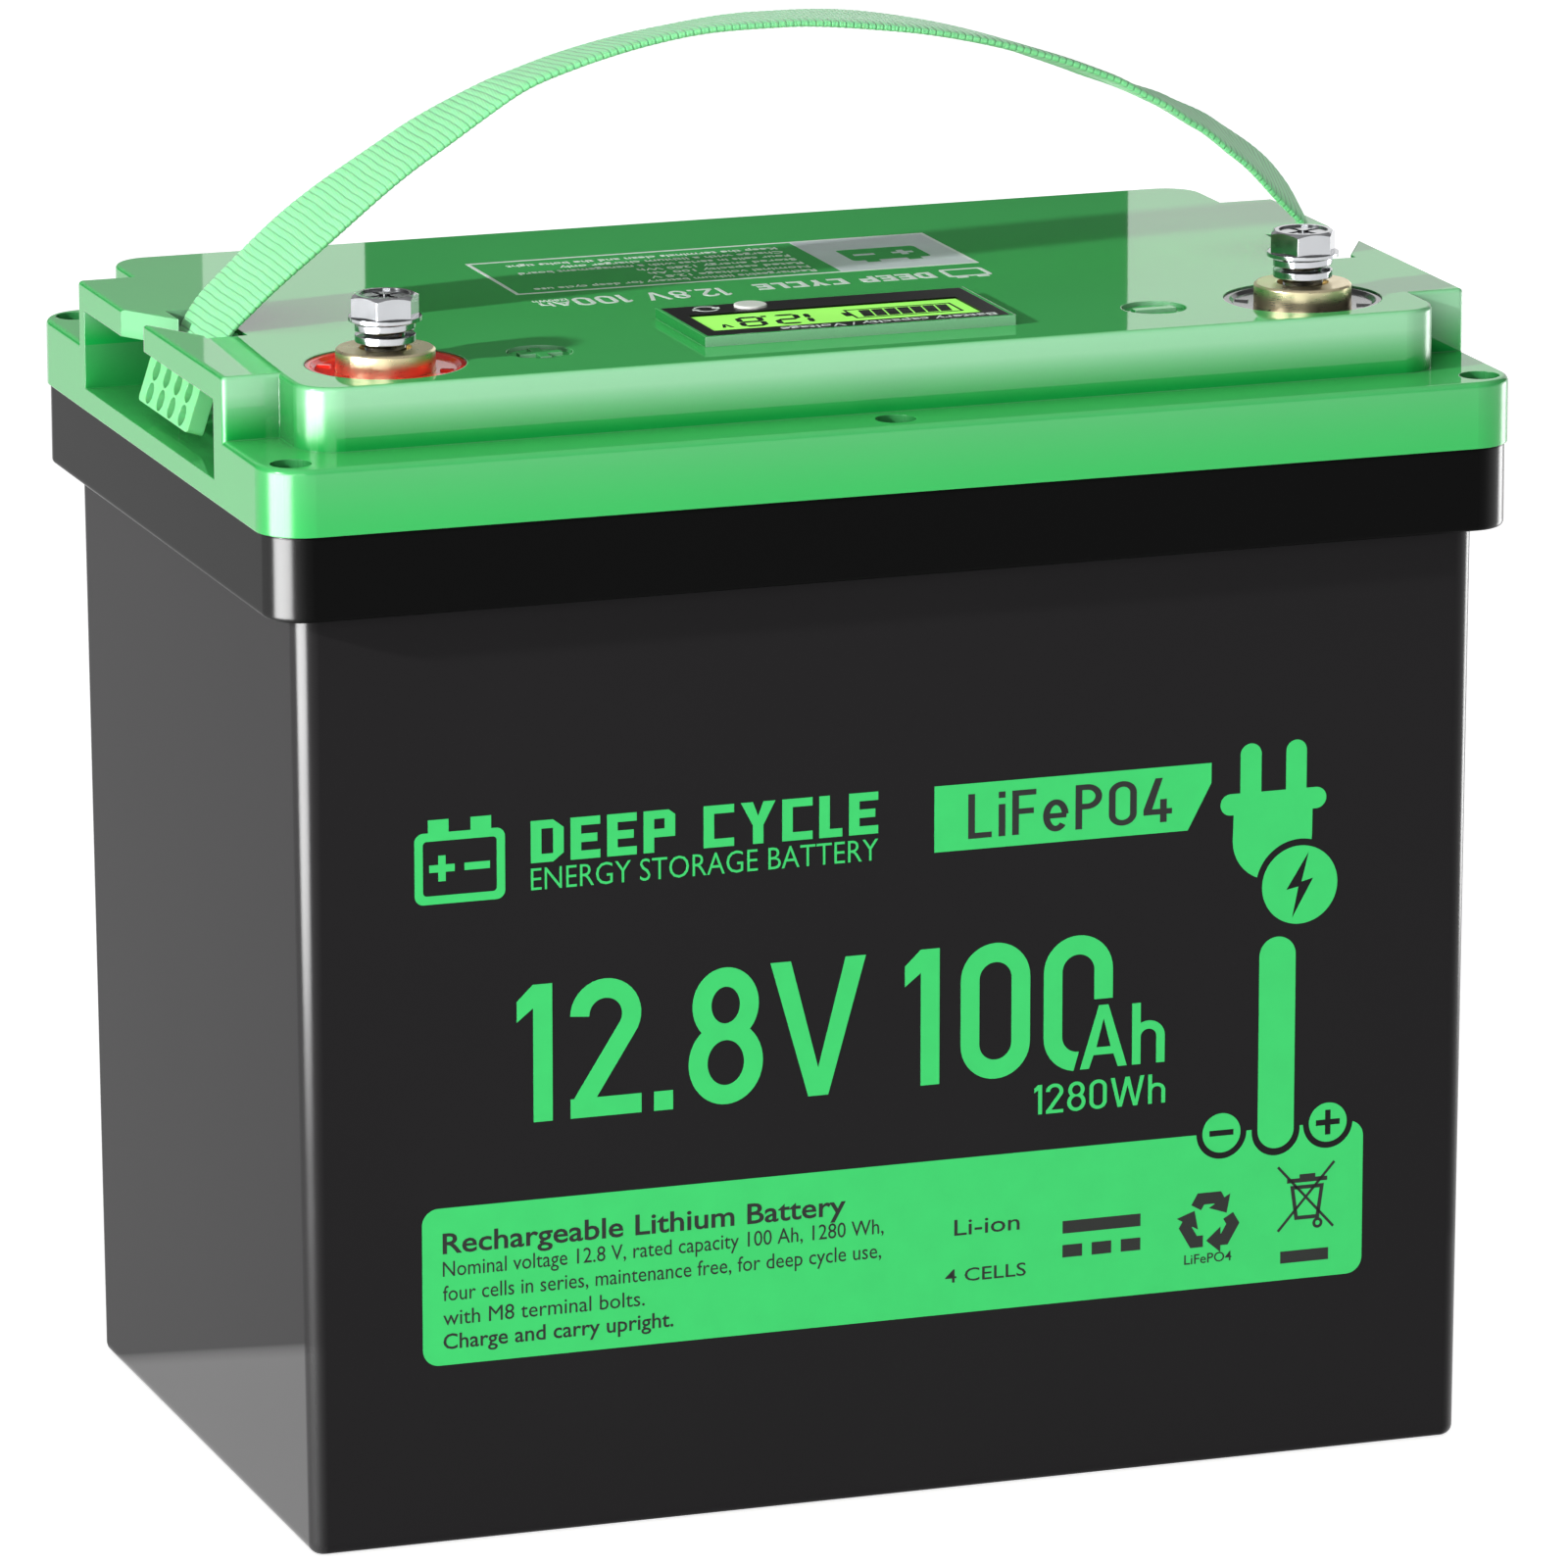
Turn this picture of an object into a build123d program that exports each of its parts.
"""Deep cycle battery: 12.8 V 100 Ah lithium iron phosphate, strap-carried, with a lid display.

Frame: millimetres, origin at the centre of the base, +X along the length, +Y to the back, +Z up.
The front face looks along -Y, and both terminals stand near the front edge of the lid.
"""
import math
import os
from build123d import *

# ---------------------------------------------------------------- driving dimensions
LENGTH, WIDTH = 260.0, 168.0            # lid outline
LID_TOP = 233.5                         # top of the lid's plateau
LID_FLANGE_TOP = 220.8
SEAM = 207.4                            # where the lid meets the case's rim
COLLAR_BOTTOM = 190.4

# case
BODY_HALF = (121.65, 76.2)              # at the base; the sides lean out by BODY_DRAFT
BODY_DRAFT = 0.45
BODY_CORNER = 3.0
COLLAR_HALF = (129.1, 83.5)
COLLAR_CORNER = 8.0
CASE_WALL = 2.8
CASE_FLOOR = 3.0

# lid
LID_CORNER = 9.5
LID_WALL = 3.2
PLATEAU_HALF = (118.5, 70.5)
PLATEAU_CORNER = 8.0
END_BLOCK_Y = (-53.0, 51.0)             # the plateau runs out to the lid's ends between these
LID_SCREWS = [(x, y) for x in (-123.5, 0.0, 123.5) for y in (-77.0, 77.0)]
SCREW_WELL_R = 4.0
SCREW_SEAT = 214.0
BOSS_TOP = 203.2

# strap pockets in the lid's ends
POCKET_HALF_Y = 46.5
POCKET_Z = (212.0, 228.0)
POCKET_BACK = 110.5                     # distance of the pocket's inner wall from the centre
SLOT_X = (113.7, 122.0)
SLOT_Y = (-15.0, 14.0)
CHANNEL_OUTER_Y = (2.6, 19.0)           # the strap's slanted entry: its mouth at the end face
CHANNEL_INNER_Y = (-12.4, 4.8)          # and where it meets the slot

# terminals
TERMINAL_X, TERMINAL_Y = 96.1, -50.5
WELL_R, WELL_FLOOR = 15.9, LID_TOP - 2.5
BUSH_R, BUSH_STEM_R = 9.8, 6.5
BUSH_TOP, BUSH_BOTTOM = LID_TOP + 3.2, 217.0
LUG_T = 2.0
BOLT_R = 4.0                            # M8 coarse, plain cylinder for the thread
BOLT_CLEARANCE = 0.05
BOLT_LENGTH = 17.5
SEAT_GAP = 1.27                         # one turn of M8 coarse, and a little
WASHER_T, WASHER_R = 1.4, 5.95
LOCK_T, LOCK_PITCH = 1.3, 1.25          # split lock washer's section height and rise
FLANGE_UNDER = LID_TOP + 8.7
FLANGE_T, FLANGE_R = 0.8, 7.2
HEX_AF, HEX_H = 12.0, 4.4
MARK_X, MARK_Y, MARK_R, MARK_DEPTH = 64.4, -50.0, 6.5, 0.8

# display in the lid
PAD_HALF_X, PAD_Y, PAD_TOP = 32.5, (-57.0, -26.0), LID_TOP + 2.0
LABEL_T = 0.4
LABEL_HALF_X, LABEL_Y = 31.6, (-56.1, -26.9)
LCD_X, LCD_Y = (-29.2, 28.0), (-52.0, -35.0)
LCD_T, BACKLIGHT_T, BOARD_T = 2.8, 2.5, 1.6
WINDOW_LIP = 0.4                        # how far the overlay laps over the display's edges
PAD_ROOF = 2.0
BUTTON_XY = (-14.0, -30.4)
BUTTON_R, BUTTON_PROUD, BUTTON_TRAVEL = 3.3, 0.5, 0.4

# carry strap
STRAP_W, STRAP_T = 25.0, 2.0
STRAP_APEX = 287.4                      # centre line
# bends from the crown down to each end: radius, and the angle below the horizontal that it turns to
STRAP_BENDS = {-1: ((156.0, 19.5), (44.0, 26.5), (241.0, 43.1), (23.0, 60.0)),
               1: ((167.0, 18.8), (236.0, 27.8), (87.0, 49.3), (14.0, 66.0))}
STRAP_END = 224.2                       # the webbing's cut end, inside the anchor
ANCHOR = (35.0, 13.0, 3.4)              # width, height, thickness
ANCHOR_TILT = 18.0
ANCHOR_CENTRE = (123.5, 220.9)
ANCHOR_HOLE_R = 2.15
ANCHOR_HOLE_PITCH = (7.7, 4.8)

# cell stack
CELL = (36.7, 130.3, 200.5)
CELL_GAP, END_PLATE_T = 1.0, 3.0
STACK_X0 = -108.0
CELL_Z0 = CASE_FLOOR + 1.5
CELL_TOP = CELL_Z0 + CELL[2]
POST_Y, POST_R, POST_H = 45.0, 8.0, 3.0
STUD_R, STUD_H = 3.0, 7.0
TOP_BOARD_T, BUSBAR_T, BUSBAR_W = 1.5, 2.0, 20.0
BAND_T, BAND_H = 0.6, 12.0
CELL_X = [STACK_X0 + END_PLATE_T + CELL[0] / 2 + i * (CELL[0] + CELL_GAP) for i in range(4)]
STACK_X1 = CELL_X[-1] + CELL[0] / 2 + END_PLATE_T
STACK_MID = (STACK_X0 + STACK_X1) / 2

# battery management system
BMS_Z = (95.0, 185.0)
BMS_HALF_Y = 55.0
HEATSINK_T, MOSFET_T = 6.0, 2.2
BMS_X = STACK_X1 + 4.0
BOARD_X = BMS_X + HEATSINK_T + MOSFET_T
CABLE_R, WIRE_R = 4.0, 0.8
CABLE_X = BOARD_X + BOARD_T + CABLE_R + 0.4


# ---------------------------------------------------------------- helpers
def rounded(half_x, half_y, z0, z1, corner, taper=0.0):
    """An upright block with rounded corners, centred on the Z axis."""
    return extrude(Pos(0, 0, z0) * RectangleRounded(2 * half_x, 2 * half_y, corner), z1 - z0, taper=taper)


def block(x0, x1, y0, y1, z0, z1):
    return Pos((x0 + x1) / 2, (y0 + y1) / 2, (z0 + z1) / 2) * Box(abs(x1 - x0), abs(y1 - y0), abs(z1 - z0))


def post(x, y, z0, z1, radius):
    return Pos(x, y, (z0 + z1) / 2) * Cylinder(radius, z1 - z0)


def ring(x, y, z0, z1, outer, inner):
    return post(x, y, z0, z1, outer) - post(x, y, z0 - 1, z1 + 1, inner)


def hexagon(x, y, z0, z1, across_flats):
    return extrude(Pos(x, y, z0) * RegularPolygon(across_flats / 2, 6, major_radius=False), z1 - z0)


def both_ends(shape):
    """The shape and its mirror image in the plane x = 0."""
    return shape + mirror(shape, Plane.YZ)


def group(shapes):
    return Compound(children=[s for shape in shapes for s in shape.solids()])


def tube(points, radius):
    """Straight runs joined by tangent arcs, each arc as large as its two runs allow."""
    corners = [Vector(*p) for p in points]
    radii = []
    for a, b, c in zip(corners, corners[1:], corners[2:]):
        turn = math.radians((b - a).get_angle(c - b))
        radii.append(0.45 * min((b - a).length, (c - b).length) / math.tan(turn / 2))
    path = FilletPolyline(*points, radius=radii)
    section = Plane(path @ 0, z_dir=path % 0) * Circle(radius)
    return sweep(section, path)


# ---------------------------------------------------------------- housing
def make_case():
    body = extrude(RectangleRounded(2 * BODY_HALF[0], 2 * BODY_HALF[1], BODY_CORNER), COLLAR_BOTTOM,
                   taper=-BODY_DRAFT)
    body = fillet(body.edges().group_by(Axis.Z)[0], 2.2)
    collar = rounded(*COLLAR_HALF, COLLAR_BOTTOM, SEAM, COLLAR_CORNER)
    collar = fillet(collar.edges().group_by(Axis.Z)[0], 1.0)
    shelf = COLLAR_BOTTOM + CASE_WALL
    inner = [h - CASE_WALL for h in BODY_HALF]
    cavity = rounded(*inner, CASE_FLOOR, shelf, 2.0, taper=-BODY_DRAFT)
    rim_inner = [h - CASE_WALL for h in COLLAR_HALF]
    rim = rounded(*rim_inner, shelf, SEAM, COLLAR_CORNER - CASE_WALL)
    case = body + collar - cavity - rim
    for x, y in LID_SCREWS:
        boss = post(x, y, shelf, BOSS_TOP, 4.5)
        case += boss & rounded(COLLAR_HALF[0] - 1, COLLAR_HALF[1] - 1, shelf, SEAM, COLLAR_CORNER - 1)
        case -= post(x, y, shelf + 0.8, BOSS_TOP, 1.75)
    return case - gasket_ring()


def gasket_ring():
    outer = [h - 0.7 for h in COLLAR_HALF]
    inner = [h - 2.1 for h in COLLAR_HALF]
    return rounded(*outer, SEAM - 1.2, SEAM, COLLAR_CORNER - 0.7) - rounded(*inner, SEAM - 1.2, SEAM,
                                                                           COLLAR_CORNER - 2.1)


def strap_opening():
    """The strap's slot and slanted entry channel through the pocket's ceiling, at the right end."""
    z0, z1 = POCKET_Z[1] - 1, LID_TOP + 1
    slot = block(*SLOT_X, *SLOT_Y, z0, z1)
    reach = LENGTH / 2 + 1
    slope = (CHANNEL_OUTER_Y[1] - CHANNEL_INNER_Y[1]) / (LENGTH / 2 - SLOT_X[1])
    start = SLOT_X[1] - 1
    outline = Polyline((start, CHANNEL_INNER_Y[0] - slope), (start, CHANNEL_INNER_Y[1] - slope),
                       (reach, CHANNEL_OUTER_Y[1] + slope), (reach, CHANNEL_OUTER_Y[0] + slope), close=True)
    channel = extrude(Pos(0, 0, z0) * make_face(outline), z1 - z0)
    channel &= block(start, reach, -40, 40, z0, z1)
    return slot + channel


def make_lid():
    flange = rounded(LENGTH / 2, WIDTH / 2, SEAM, LID_FLANGE_TOP, LID_CORNER)
    flange = fillet(flange.edges().group_by(Axis.Z)[-1], 1.1)
    plateau = rounded(*PLATEAU_HALF, LID_FLANGE_TOP - 3, LID_TOP, PLATEAU_CORNER)
    plateau += block(-LENGTH / 2, LENGTH / 2, *END_BLOCK_Y, LID_FLANGE_TOP - 3, LID_TOP)
    end_corners = plateau.edges().filter_by(Axis.Z).filter_by(lambda e: abs(e.center().X) > LENGTH / 2 - 1)
    plateau = fillet(end_corners, 1.0)
    plateau = fillet(plateau.edges().group_by(Axis.Z)[-1], 0.8)
    lid = flange + plateau

    under = LID_FLANGE_TOP - LID_WALL
    lid -= rounded(LENGTH / 2 - LID_WALL, WIDTH / 2 - LID_WALL, SEAM, under, LID_CORNER - LID_WALL)
    room = [h - 3 for h in PLATEAU_HALF]
    lid -= rounded(*room, under - 1, LID_TOP - LID_WALL, PLATEAU_CORNER - 3)
    tongue = rounded(126.1, 80.5, BOSS_TOP + 0.3, SEAM + 1, 5.0)
    tongue -= rounded(124.3, 78.7, BOSS_TOP + 0.3, SEAM + 1, 3.2)
    tongue += rounded(LENGTH / 2 - LID_WALL, WIDTH / 2 - LID_WALL, SEAM, SEAM + 2, 6.3) - rounded(
        124.3, 78.7, SEAM, SEAM + 2, 3.2)
    lid += tongue

    shell = block(POCKET_BACK - 2.6, LENGTH / 2 - 2.5, -POCKET_HALF_Y - 2.8, POCKET_HALF_Y + 2.8,
                  POCKET_Z[0] - 2.8, LID_TOP - 1.0)
    pocket = block(POCKET_BACK, LENGTH / 2 + 1, -POCKET_HALF_Y, POCKET_HALF_Y, *POCKET_Z)
    inside_low = rounded(126.1, 80.5, BOSS_TOP + 0.3, SEAM, 5.0)
    lid += both_ends(shell)
    for x, y in LID_SCREWS:
        lid += post(x, y, SEAM, under + 1, 6.0) & rounded(LENGTH / 2 - 1, WIDTH / 2 - 1, SEAM, under + 1,
                                                         LID_CORNER - 1)
        lid += post(x, y, BOSS_TOP + 0.3, SEAM, 4.4) & inside_low
    for side in (-1, 1):
        lid += post(side * TERMINAL_X, TERMINAL_Y, WELL_FLOOR - 5, LID_TOP - 1, 20.0) & block(
            -LENGTH / 2 + 1, LENGTH / 2 - 1, -PLATEAU_HALF[1] + 1, 0, 0, LID_TOP - 1)
    lid += block(-PAD_HALF_X, PAD_HALF_X, *PAD_Y, LID_TOP - 2, PAD_TOP)

    lid -= both_ends(pocket + strap_opening())
    for x, y in LID_SCREWS:
        lid -= post(x, y, SCREW_SEAT, LID_FLANGE_TOP + 1, SCREW_WELL_R)
        lid -= post(x, y, BOSS_TOP, SCREW_SEAT, 2.1)
    for side in (-1, 1):
        x = side * TERMINAL_X
        lid -= post(x, TERMINAL_Y, WELL_FLOOR, LID_TOP + 1, WELL_R)
        lid -= post(x, TERMINAL_Y, WELL_FLOOR - 6, WELL_FLOOR, BUSH_STEM_R)
        lid -= polarity_mark(side)
    return cut_display_space(lid)


def polarity_mark(side):
    """A round recess with a raised plus on the left or a raised minus on the right."""
    x, z0 = side * MARK_X, LID_TOP - MARK_DEPTH
    recess = post(x, MARK_Y, z0, LID_TOP + 1, MARK_R)
    bar = block(x - 4.4, x + 4.4, MARK_Y - 1.2, MARK_Y + 1.2, z0, LID_TOP - 0.1)
    recess -= bar
    if side < 0:
        recess -= block(x - 1.2, x + 1.2, MARK_Y - 4.4, MARK_Y + 4.4, z0, LID_TOP - 0.1)
    return recess


def display_posts():
    xs = (-28.0, 28.0)
    ys = (PAD_Y[0] + 2.8, PAD_Y[1] - 3.2)
    return [(x, y) for x in xs for y in ys]


LABEL_BOTTOM = PAD_TOP - LABEL_T
ROOF_BOTTOM = LABEL_BOTTOM - PAD_ROOF
LCD_BOTTOM = LABEL_BOTTOM - LCD_T
BOARD_TOP = LCD_BOTTOM - BACKLIGHT_T
BOARD_BOTTOM = BOARD_TOP - BOARD_T


def cut_display_space(lid):
    """The display's overlay recess, the room under the pad, the LCD window and the button's hole."""
    lid -= block(-LABEL_HALF_X, LABEL_HALF_X, *LABEL_Y, LABEL_BOTTOM, PAD_TOP + 1)
    lid -= block(-PAD_HALF_X + 1.5, PAD_HALF_X - 1.5, PAD_Y[0] + 1, PAD_Y[1] - 1, 225, ROOF_BOTTOM)
    lid -= block(LCD_X[0], LCD_X[1], *LCD_Y, LCD_BOTTOM, LABEL_BOTTOM)
    lid -= post(*BUTTON_XY, ROOF_BOTTOM, LABEL_BOTTOM, BUTTON_R + 0.1)
    for x, y in display_posts():
        lid += ring(x, y, BOARD_TOP, ROOF_BOTTOM, 1.9, 0.9)
    return lid


def make_lid_screws():
    screws = []
    for x, y in LID_SCREWS:
        screw = post(x, y, SCREW_SEAT, SCREW_SEAT + 2.4, 3.4) + post(x, y, 195.0, SCREW_SEAT, 1.75)
        for turn in (0, 90):
            screw -= Pos(x, y, SCREW_SEAT + 2.0) * Rot(0, 0, turn + 15) * Box(4.0, 0.9, 1.6)
        screws.append(screw)
    return group(screws)


# ---------------------------------------------------------------- terminals
def make_terminal(side):
    x, y = side * TERMINAL_X, TERMINAL_Y
    head = post(x, y, WELL_FLOOR, BUSH_TOP, BUSH_R)
    head = chamfer(head.edges().group_by(Axis.Z)[-1], 0.4)
    bush = head + post(x, y, BUSH_BOTTOM, WELL_FLOOR, BUSH_STEM_R)
    bush -= post(x, y, BUSH_TOP - 1.6, BUSH_TOP + 1, 5.2)
    return bush - post(x, y, BUSH_BOTTOM + 2.5, BUSH_TOP, BOLT_R + BOLT_CLEARANCE)


def make_polarity_ring(side):
    """A dished washer with six low ribs, in the well round the terminal."""
    x, y = side * TERMINAL_X, TERMINAL_Y
    top = LID_TOP - 0.3
    profile = Polyline((BUSH_R, WELL_FLOOR), (WELL_R, WELL_FLOOR), (WELL_R, top), (WELL_R - 1.2, top),
                       (WELL_R - 2.0, top - 0.7), (BUSH_R, top - 0.9), close=True)
    disc = revolve(Plane.XZ * make_face(profile), Axis.Z)
    for i in range(6):
        disc += Rot(0, 0, 60 * i + 30) * block(BUSH_R + 1.2, WELL_R - 2.2, -0.6, 0.6, top - 1.5, top - 0.45)
    return Pos(x, y, 0) * disc


def make_terminal_nut(side):
    x, y = side * TERMINAL_X, TERMINAL_Y
    z1 = WELL_FLOOR - 5 - LUG_T
    return hexagon(x, y, z1 - 5, z1, 19.0) - post(x, y, z1 - 6, z1 + 1, BUSH_STEM_R)


def make_bolt(side):
    x, y = side * TERMINAL_X, TERMINAL_Y
    hex_z0 = FLANGE_UNDER + FLANGE_T
    top = hex_z0 + HEX_H
    head = hexagon(x, y, hex_z0, top, HEX_AF)
    corner = HEX_AF / math.sqrt(3)
    crown = Pos(x, y, top - 20) * Cone(corner + 20 * math.sqrt(3), HEX_AF / 2 - 0.25, 20,
                                       align=(Align.CENTER, Align.CENTER, Align.MIN))
    head &= crown
    head -= post(x, y, top - 0.35, top + 1, 4.9) - post(x, y, top - 1, top + 2, 1.1)
    for turn in (0, 90):
        head -= Pos(x, y, top - 1.05) * Rot(0, 0, turn + 20) * Box(8.2, 1.1, 2.0)
    washer = post(x, y, FLANGE_UNDER, hex_z0, FLANGE_R)
    shank = post(x, y, FLANGE_UNDER - BOLT_LENGTH, FLANGE_UNDER, BOLT_R)
    shank = chamfer(shank.edges().group_by(Axis.Z)[0], 0.7)
    return head + washer + shank


def make_flat_washer(side):
    z0 = BUSH_TOP + SEAT_GAP
    return ring(side * TERMINAL_X, TERMINAL_Y, z0, z0 + WASHER_T, WASHER_R, BOLT_R + 0.2)


def make_lock_washer(side):
    """A split washer: one turn of a square section on a short helix."""
    inner = BOLT_R + 0.15
    section_w = WASHER_R - inner
    turns = 0.97
    z0 = FLANGE_UNDER - 0.1 - LOCK_PITCH * turns - LOCK_T
    path = Helix(pitch=LOCK_PITCH, height=LOCK_PITCH * turns, radius=inner + section_w / 2)
    start = Plane(origin=path @ 0, x_dir=Vector(1, 0, 0), z_dir=path % 0)
    coil = sweep(start * Rectangle(section_w, LOCK_T), path, is_frenet=True)
    return Pos(side * TERMINAL_X, TERMINAL_Y, z0 + LOCK_T / 2) * coil


# ---------------------------------------------------------------- display
def make_display_label():
    """A thin overlay with a window over the display and a hole for the button."""
    label = block(-LABEL_HALF_X, LABEL_HALF_X, *LABEL_Y, LABEL_BOTTOM, PAD_TOP)
    label -= block(LCD_X[0] + WINDOW_LIP, LCD_X[1] - WINDOW_LIP, LCD_Y[0] + WINDOW_LIP, LCD_Y[1] - WINDOW_LIP,
                   LABEL_BOTTOM - 1, PAD_TOP + 1)
    return label - post(*BUTTON_XY, LABEL_BOTTOM - 1, PAD_TOP + 1, BUTTON_R + 0.1)


def make_display_board():
    board = block(-PAD_HALF_X + 2, PAD_HALF_X - 2, PAD_Y[0] + 1.2, PAD_Y[1] - 1.2, BOARD_BOTTOM, BOARD_TOP)
    for x, y in display_posts():
        board -= post(x, y, BOARD_BOTTOM - 1, BOARD_TOP + 1, 0.9)
    return board


def make_display_screws():
    screws = []
    for x, y in display_posts():
        head = post(x, y, BOARD_BOTTOM - 1.2, BOARD_BOTTOM, 1.7)
        screw = head + post(x, y, BOARD_BOTTOM, BOARD_TOP + 2, 0.9)
        screws.append(screw - Pos(x, y, BOARD_BOTTOM - 1.0) * Box(2.4, 0.5, 0.8))
    return group(screws)


PLUNGER_TOP = ROOF_BOTTOM - 0.75
SWITCH_TOP = PLUNGER_TOP - 0.9


def make_tact_switch():
    x, y = BUTTON_XY
    body = block(x - 3, x + 3, y - 3, y + 3, BOARD_TOP, SWITCH_TOP)
    return body - post(x, y, BOARD_TOP + 0.3, SWITCH_TOP + 1, 1.75)


def make_switch_plunger():
    return post(*BUTTON_XY, BOARD_TOP + 0.3 + BUTTON_TRAVEL + 0.05, PLUNGER_TOP, 1.65)


def make_display_button():
    cap = post(*BUTTON_XY, PLUNGER_TOP, PAD_TOP + BUTTON_PROUD, BUTTON_R)
    cap = fillet(cap.edges().group_by(Axis.Z)[-1], 0.25)
    ears = Box(2 * BUTTON_R + 2.4, 5.0, 0.6, align=(Align.CENTER, Align.CENTER, Align.MIN))
    return cap + Pos(*BUTTON_XY, PLUNGER_TOP) * ears


# ---------------------------------------------------------------- carry strap
def strap_side(side):
    """From the crown: the bends of one side, then a straight leg through the slot to the anchor."""
    point, angle, line = Vector(0, STRAP_APEX), 0.0, []
    for radius, next_angle in STRAP_BENDS[side]:
        heading = Vector(side * math.cos(math.radians(angle)), -math.sin(math.radians(angle)))
        bend = JernArc(point, heading, radius, -side * (next_angle - angle))
        line.append(bend)
        point, angle = bend @ 1, next_angle
    reach = (point.Y - STRAP_END) / math.sin(math.radians(angle))
    line.append(Line(point, point + (bend % 1) * reach))
    return line


def make_strap():
    line = Plane.XZ * Wire(strap_side(-1) + strap_side(1))
    start = Plane(origin=line @ 0, x_dir=Vector(0, 1, 0), z_dir=line % 0)
    return sweep(start * Rectangle(STRAP_W, STRAP_T), line)


def make_anchor(side, strap):
    """A perforated plate across the strap's end, tilted so that its foot kicks outward."""
    width, height, thickness = ANCHOR
    plate = Box(thickness, width, height)
    plate = fillet(plate.edges().filter_by(Axis.X), 1.2)
    for i in range(4):
        for j in range(2):
            y = (i - 1.5) * ANCHOR_HOLE_PITCH[0]
            z = (j - 0.5) * ANCHOR_HOLE_PITCH[1] - 1.6
            plate -= Pos(0, y, z) * Rot(0, 90, 0) * Cylinder(ANCHOR_HOLE_R, 2 * thickness)
    plate = Pos(side * ANCHOR_CENTRE[0], 0, ANCHOR_CENTRE[1]) * Rot(0, -side * ANCHOR_TILT, 0) * plate
    return plate - strap


# ---------------------------------------------------------------- cell stack
def make_cell(x):
    can = Pos(x, 0, CELL_Z0 + CELL[2] / 2) * Box(*CELL)
    can = fillet(can.edges().filter_by(Axis.Z), 2.0)
    vent = Pos(x, 0, CELL_TOP) * extrude(SlotOverall(22, 12), -0.4)
    return can - vent


def make_cell_posts():
    return group([post(x, y, CELL_TOP, CELL_TOP + POST_H, POST_R) + post(x, y, CELL_TOP + POST_H, CELL_TOP
                  + POST_H + STUD_H, STUD_R) for x in CELL_X for y in (-POST_Y, POST_Y)])


def make_cell_spacers():
    gaps = [(a + b) / 2 for a, b in zip(CELL_X, CELL_X[1:])]
    return group([block(x - CELL_GAP / 2, x + CELL_GAP / 2, -CELL[1] / 2, CELL[1] / 2, CELL_Z0, CELL_TOP - 2)
                  for x in gaps])


def make_end_plates():
    plates = []
    for x0 in (STACK_X0, STACK_X1 - END_PLATE_T):
        plate = block(x0, x0 + END_PLATE_T, -CELL[1] / 2, CELL[1] / 2, CELL_Z0, CELL_TOP - 6)
        for z in (45, 85, 125, 165):
            plate -= block(x0 - 1, x0 + END_PLATE_T + 1, -40, 40, z - 8, z + 8)
        plates.append(plate)
    return group(plates)


def make_compression_bands():
    bands = []
    half_x, half_y = (STACK_X1 - STACK_X0) / 2, CELL[1] / 2
    for z in (64.0, 144.0):
        outer = rounded(half_x + BAND_T, half_y + BAND_T, z, z + BAND_H, 1.0)
        stack = block(-half_x, half_x, -half_y, half_y, z - 1, z + BAND_H + 1)
        bands.append(Pos(STACK_MID, 0, 0) * (outer - stack))
    return group(bands)


def make_top_board():
    board = block(STACK_X0 + END_PLATE_T, STACK_X1 - END_PLATE_T, -CELL[1] / 2 + 2, CELL[1] / 2 - 2, CELL_TOP,
                  CELL_TOP + TOP_BOARD_T)
    for x in CELL_X:
        board -= Pos(x, 0, CELL_TOP) * extrude(SlotOverall(26, 16), TOP_BOARD_T)
        for y in (-POST_Y, POST_Y):
            board -= post(x, y, CELL_TOP, CELL_TOP + TOP_BOARD_T, POST_R + 0.5)
    return board


BUSBAR_Z = CELL_TOP + POST_H
LINKS = [(CELL_X[0], CELL_X[1], -POST_Y), (CELL_X[1], CELL_X[2], POST_Y), (CELL_X[2], CELL_X[3], -POST_Y)]


def make_busbars():
    bars = []
    for x0, x1, y in LINKS:
        mid = (x0 + x1) / 2
        bar = Pos(mid, y, BUSBAR_Z) * extrude(RectangleRounded(x1 - x0 + 20, BUSBAR_W, 4), BUSBAR_T)
        bar -= Pos(mid, y, BUSBAR_Z) * extrude(SlotOverall(12, 5, rotation=90), BUSBAR_T)
        for x in (x0, x1):
            bar -= post(x, y, BUSBAR_Z - 1, BUSBAR_Z + BUSBAR_T + 1, STUD_R)
        bars.append(bar)
    return group(bars)


def make_cell_nuts():
    nuts = []
    z0 = BUSBAR_Z + BUSBAR_T
    for x in CELL_X:
        for y in (-POST_Y, POST_Y):
            nut = hexagon(x, y, z0, z0 + 4.0, 10.0) + post(x, y, z0, z0 + 1.0, 6.4)
            nuts.append(nut - post(x, y, z0 - 1, z0 + 5, STUD_R))
    return group(nuts)


def make_side_pads():
    near, far = CELL[1] / 2 + BAND_T, BODY_HALF[1] - CASE_WALL - 0.4
    return group([block(STACK_X0, STACK_X1, side * near, side * far, CELL_Z0 + 1, 190) for side in (-1, 1)])


# ---------------------------------------------------------------- battery management system
def make_heatsink():
    sink = block(BMS_X, BMS_X + HEATSINK_T, -BMS_HALF_Y, BMS_HALF_Y, *BMS_Z)
    groove = block(BMS_X - 1, BMS_X + HEATSINK_T - 2.5, -2.2, 2.2, BMS_Z[0] - 1, BMS_Z[1] + 1)
    for i in range(-6, 7):
        sink -= Pos(0, i * 8, 0) * groove
    return sink


def bms_corners():
    return [(y, z) for y in (-BMS_HALF_Y + 4, BMS_HALF_Y - 4) for z in (BMS_Z[0] + 5, BMS_Z[1] - 5)]


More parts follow.
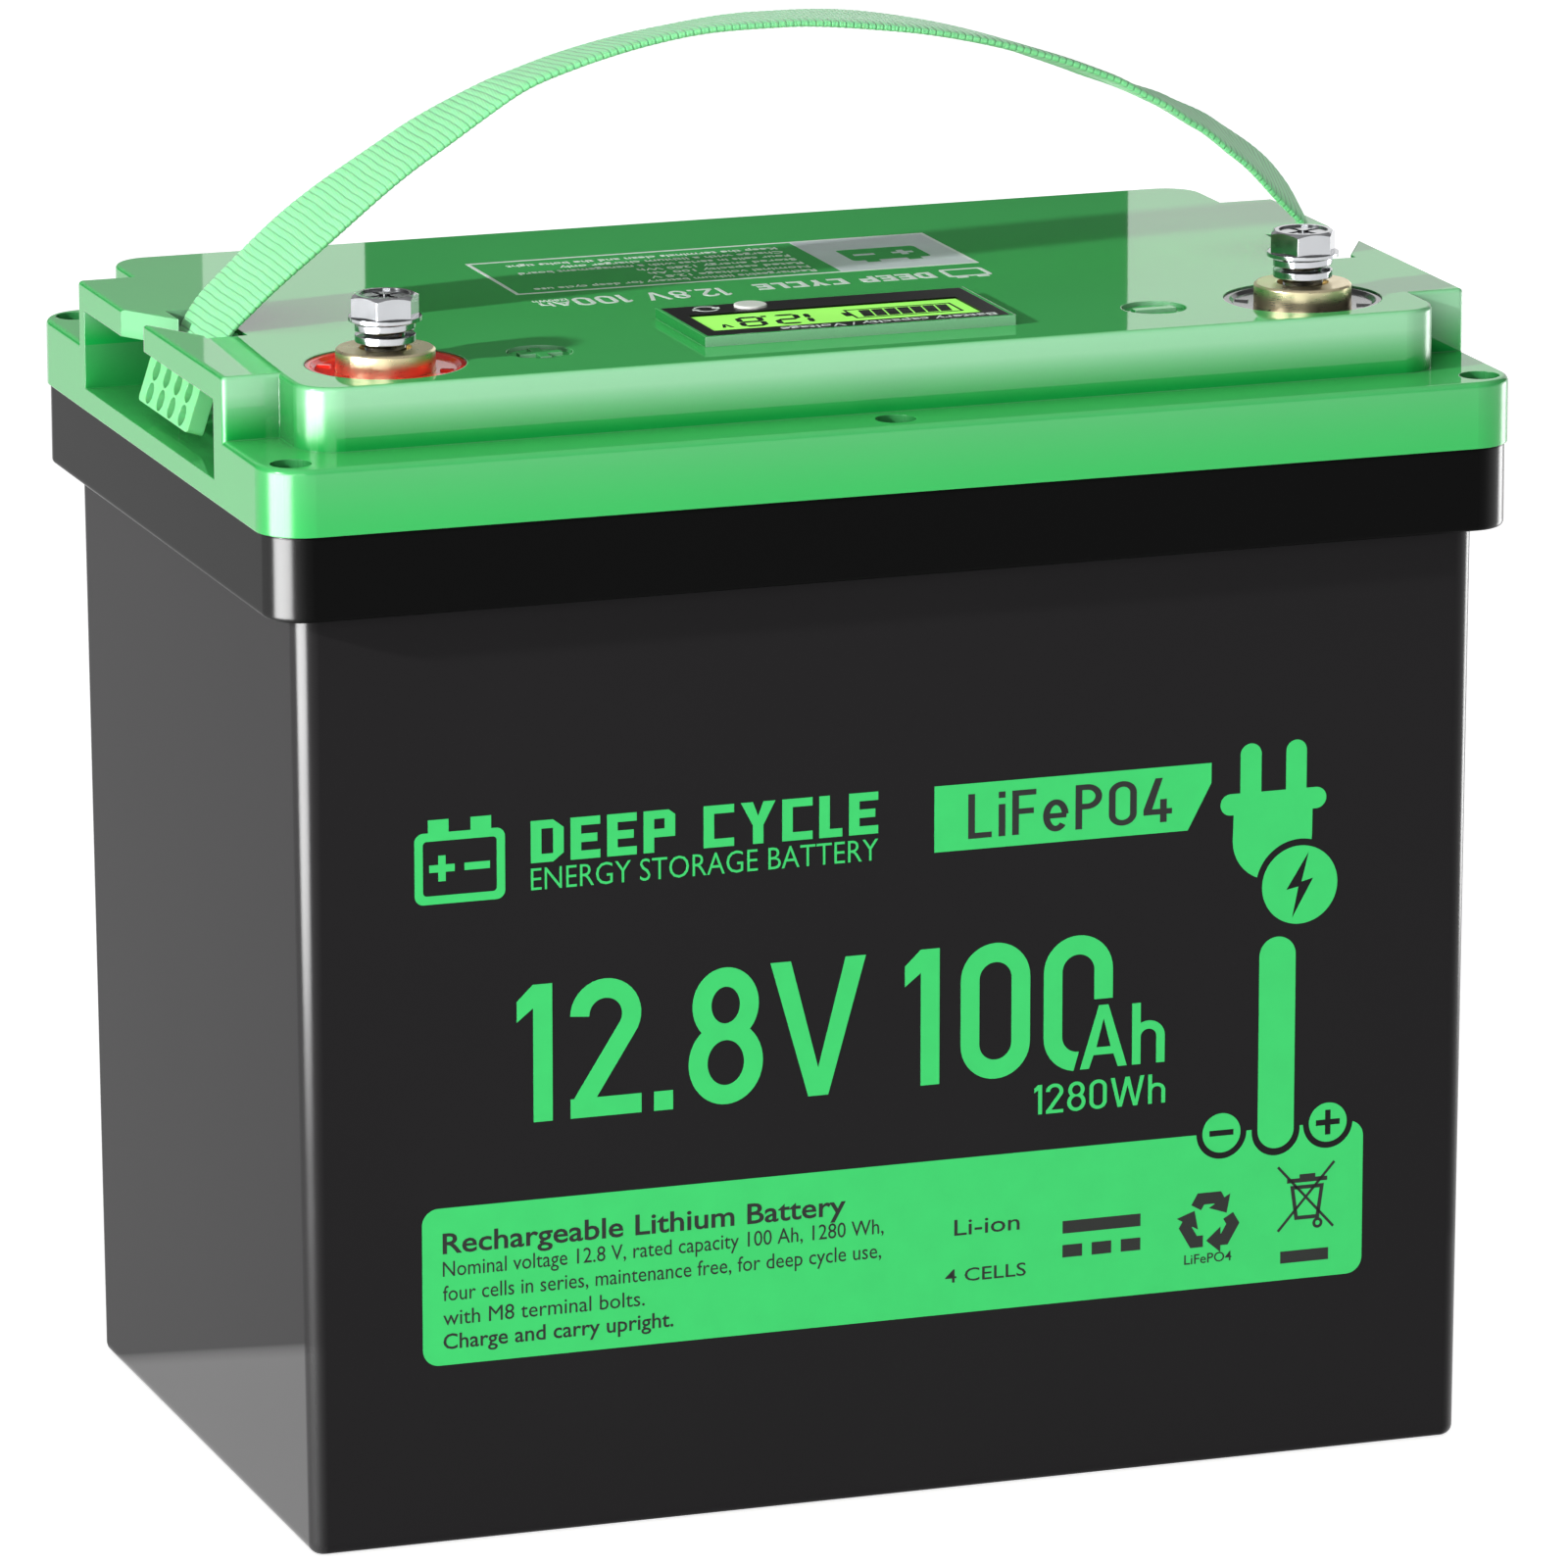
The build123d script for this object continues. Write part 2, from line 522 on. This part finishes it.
def along_x(x0, x1, y, z, radius):
    return Pos((x0 + x1) / 2, y, z) * Rot(0, 90, 0) * Cylinder(radius, x1 - x0)


def make_bms_board():
    board = block(BOARD_X, BOARD_X + BOARD_T, -BMS_HALF_Y, BMS_HALF_Y, *BMS_Z)
    for y, z in bms_corners():
        board -= along_x(BOARD_X - 1, BOARD_X + BOARD_T + 1, y, z, 1.6)
    return board


def make_bms_standoffs():
    pillars = [along_x(STACK_X1, BMS_X, y, z, 3.0) for y, z in bms_corners()]
    collars = [along_x(BMS_X + HEATSINK_T, BOARD_X, y, z, 3.0) for y, z in bms_corners()]
    return group(pillars + collars)


def make_bms_screws():
    x1 = BOARD_X + BOARD_T
    return group([along_x(BOARD_X, x1, y, z, 1.6) + along_x(x1, x1 + 2.0, y, z, 2.9)
                  for y, z in bms_corners()])


def make_mosfets():
    chips = []
    for i in range(10):
        for z in (115.0, 140.0):
            y = (i - 4.5) * 9.4
            chips.append(block(BOARD_X - MOSFET_T, BOARD_X, y - 3.6, y + 3.6, z - 5, z + 5))
    return group(chips)


def make_bms_parts():
    """Shunt, capacitors and controller on the outer face of the board."""
    x0 = BOARD_X + BOARD_T
    parts = [block(x0, x0 + 1.6, -9, 9, 128, 146), block(x0, x0 + 1.2, 18, 27, 116, 125)]
    parts += [block(x0, x0 + 3.0, y, y + 9, 106, 110) for y in (-46, -32, 30, 42)]
    parts += [along_x(x0, x0 + 8.0, y, 120.0, 4.0) for y in (-24.0, -12.0)]
    return group(parts)


def make_cable_pads():
    x0 = BOARD_X + BOARD_T
    return group([block(x0, x0 + 8.8, y - 6, y + 6, 152, 166) for y in (-28.0, 32.0)])


def make_balance_connector():
    x0 = BOARD_X + BOARD_T
    return block(x0, x0 + 5.0, -9.5, 9.5, 172, 181)


# ---------------------------------------------------------------- cables
BARREL_L, BARREL_START, BARREL_R, CRIMP_DEPTH = 12.0, 14.0, 5.2, 9.0
ABOVE, BELOW = 1, -1

# each lug: hole centre, heading in degrees from +X, and the side of the palm that the barrel lies on
TERMINAL_LUG_Z = WELL_FLOOR - 5 - LUG_T
CELL_LUG_Z = CELL_TOP + POST_H
POSITIVE_TERMINAL_LUG = (-TERMINAL_X, TERMINAL_Y, TERMINAL_LUG_Z, 75, BELOW)
POSITIVE_CELL_LUG = (CELL_X[0], POST_Y, CELL_LUG_Z, -90, ABOVE)
B_MINUS_LUG = (CELL_X[3], POST_Y, CELL_LUG_Z, 0, ABOVE)
P_MINUS_LUG = (TERMINAL_X, TERMINAL_Y, TERMINAL_LUG_Z, 150, BELOW)


def barrel_height(side):
    return BARREL_R if side == ABOVE else LUG_T - BARREL_R


def make_lug(x, y, z, heading, side, hole_r, palm_r):
    """A crimp lug: a flat palm round the hole, then the barrel that holds the cable."""
    low = (Align.CENTER, Align.CENTER, Align.MIN)
    palm = extrude(Circle(palm_r), LUG_T) + block(0, BARREL_START + 1, -5.2, 5.2, 0, LUG_T)
    height = barrel_height(side)
    barrel = Pos(BARREL_START, 0, height) * Rot(0, 90, 0) * Cylinder(BARREL_R, BARREL_L, align=low)
    crimp = Pos(BARREL_START + BARREL_L - CRIMP_DEPTH, 0, height) * Rot(0, 90, 0) * Cylinder(
        CABLE_R, CRIMP_DEPTH + 1, align=low)
    lug = palm + barrel - crimp - post(0, 0, -1, LUG_T + 1, hole_r)
    return Pos(x, y, z) * Rot(0, 0, heading) * lug


def ahead(point, heading, distance):
    angle = math.radians(heading)
    return (point[0] + distance * math.cos(angle), point[1] + distance * math.sin(angle), point[2])


def lug_exit(x, y, z, heading, side):
    """Where the cable starts inside a lug's barrel."""
    return ahead((x, y, z + barrel_height(side)), heading, BARREL_START + BARREL_L - CRIMP_DEPTH)


def make_positive_cable():
    a, b = lug_exit(*POSITIVE_TERMINAL_LUG), lug_exit(*POSITIVE_CELL_LUG)
    return tube([a, ahead(a, POSITIVE_TERMINAL_LUG[3], 22), (CELL_X[0] + 0.5, 3.0, 217.0),
                 ahead(b, POSITIVE_CELL_LUG[3], 17), b], CABLE_R)


def make_b_minus_cable():
    a = lug_exit(*B_MINUS_LUG)
    return tube([a, ahead(a, B_MINUS_LUG[3], 17), (CABLE_X, 38.0, 201.0), (CABLE_X, 32.0, 188.0),
                 (CABLE_X, 32.0, 166.0)], CABLE_R)


def make_p_minus_cable():
    a = lug_exit(*P_MINUS_LUG)
    return tube([a, ahead(a, P_MINUS_LUG[3], 18), (CABLE_X, -29.0, 205.0), (CABLE_X, -28.0, 190.0),
                 (CABLE_X, -28.0, 166.0)], CABLE_R)


def make_balance_harness():
    """Five sense wires from the connector along the top board, one to each end of every cell."""
    z_lane = CELL_TOP + TOP_BOARD_T + 6
    targets = [(LINKS[2], -38.0, -8.0), (LINKS[0], -38.0, -4.0), (LINKS[1], 38.0, 4.0)]
    ends = [((x0 + x1) / 2, y, lane) for (x0, x1, _), y, lane in targets]
    ends += [(CELL_X[3] - 12.0, 36.0, 8.0), (CELL_X[0] + 12.0, 36.0, 0.0)]
    wires = []
    for x, y, lane in ends:
        start = (BOARD_X + BOARD_T + 2.5, lane, 181.0)
        points = [start, (start[0], lane, z_lane - 8), (STACK_X1 - 4, lane * 1.02, z_lane),
                  (x + 6, lane, z_lane), (x, lane + math.copysign(10, y), z_lane),
                  (x, y - math.copysign(4, y), BUSBAR_Z + 4.2), (x, y, BUSBAR_Z + BUSBAR_T + WIRE_R)]
        wires.append(tube(points, WIRE_R))
    return group(wires)


def make_display_cable():
    x0 = BOARD_X + BOARD_T + 2.0
    return tube([(20.0, -34.0, BOARD_BOTTOM), (20.0, -34.0, BOARD_BOTTOM - 8), (34.0, -24.0, 217.0),
                 (52.0, -18.0, 214.0), (x0, -16.0, 200.0), (x0, -16.5, 184.0)], 1.4)


def make_temperature_probe():
    x, y, z = CELL_X[3], -12.0, CELL_TOP + TOP_BOARD_T + 1.5
    x1 = BOARD_X + 3.2
    bead = Pos(x, y, z) * Box(8, 5, 3)
    wire = tube([(x + 4, y, z), (x + 14, y - 1, z + 1), (STACK_X1 + 2, y - 1.5, 208.0), (x1, y, 196.0),
                 (x1, y + 0.5, 186.0)], 0.7)
    return group([bead, wire])


# ---------------------------------------------------------------- assembly
def build_parts():
    strap = make_strap()
    positive, negative = -1, 1
    parts = {
        "case": make_case(),
        "lid": make_lid(),
        "lid_gasket": gasket_ring(),
        "lid_screws": make_lid_screws(),
        "carry_strap": strap,
        "strap_anchor_left": make_anchor(-1, strap),
        "strap_anchor_right": make_anchor(1, strap),
        "display_label": make_display_label(),
        "lcd_panel": block(*LCD_X, *LCD_Y, LCD_BOTTOM, LABEL_BOTTOM),
        "display_backlight": block(*LCD_X, *LCD_Y, BOARD_TOP, LCD_BOTTOM),
        "display_board": make_display_board(),
        "display_screws": make_display_screws(),
        "display_button": make_display_button(),
        "tact_switch": make_tact_switch(),
        "switch_plunger": make_switch_plunger(),
        "display_cable": make_display_cable(),
        "cell_posts": make_cell_posts(),
        "cell_spacers": make_cell_spacers(),
        "end_plates": make_end_plates(),
        "compression_bands": make_compression_bands(),
        "cell_top_board": make_top_board(),
        "busbars": make_busbars(),
        "cell_nuts": make_cell_nuts(),
        "foam_base_pad": block(-116, 116, -71, 71, CASE_FLOOR, CELL_Z0),
        "foam_side_pads": make_side_pads(),
        "foam_left_block": block(-117.5, STACK_X0 - BAND_T, -60, 60, CELL_Z0, 190),
        "foam_right_block": block(BOARD_X + 16, 117.5, -68, 68, CELL_Z0, 120),
        "bms_heatsink": make_heatsink(),
        "bms_board": make_bms_board(),
        "bms_standoffs": make_bms_standoffs(),
        "bms_screws": make_bms_screws(),
        "bms_mosfets": make_mosfets(),
        "bms_parts": make_bms_parts(),
        "bms_cable_pads": make_cable_pads(),
        "balance_connector": make_balance_connector(),
        "balance_harness": make_balance_harness(),
        "temperature_probe": make_temperature_probe(),
        "positive_cable": make_positive_cable(),
        "positive_cable_lugs": group([make_lug(*POSITIVE_TERMINAL_LUG, BUSH_STEM_R, 9.6),
                                      make_lug(*POSITIVE_CELL_LUG, STUD_R, 8.0)]),
        "b_minus_cable": make_b_minus_cable(),
        "b_minus_lug": make_lug(*B_MINUS_LUG, STUD_R, 8.0),
        "p_minus_cable": make_p_minus_cable(),
        "p_minus_lug": make_lug(*P_MINUS_LUG, BUSH_STEM_R, 9.6),
    }
    for i, x in enumerate(CELL_X):
        parts[f"cell_{i + 1}"] = make_cell(x)
    for name, side in (("positive", positive), ("negative", negative)):
        parts[f"{name}_terminal"] = make_terminal(side)
        parts[f"{name}_ring"] = make_polarity_ring(side)
        parts[f"{name}_terminal_nut"] = make_terminal_nut(side)
        parts[f"{name}_bolt"] = make_bolt(side)
        parts[f"{name}_flat_washer"] = make_flat_washer(side)
        parts[f"{name}_lock_washer"] = make_lock_washer(side)
    return parts


os.makedirs("parts", exist_ok=True)
for node, shape in build_parts().items():
    export_step(shape, f"parts/{node}.step")
    print(f"{node}: {len(shape.solids())} solids, {sum(s.volume for s in shape.solids()):.0f} mm3")
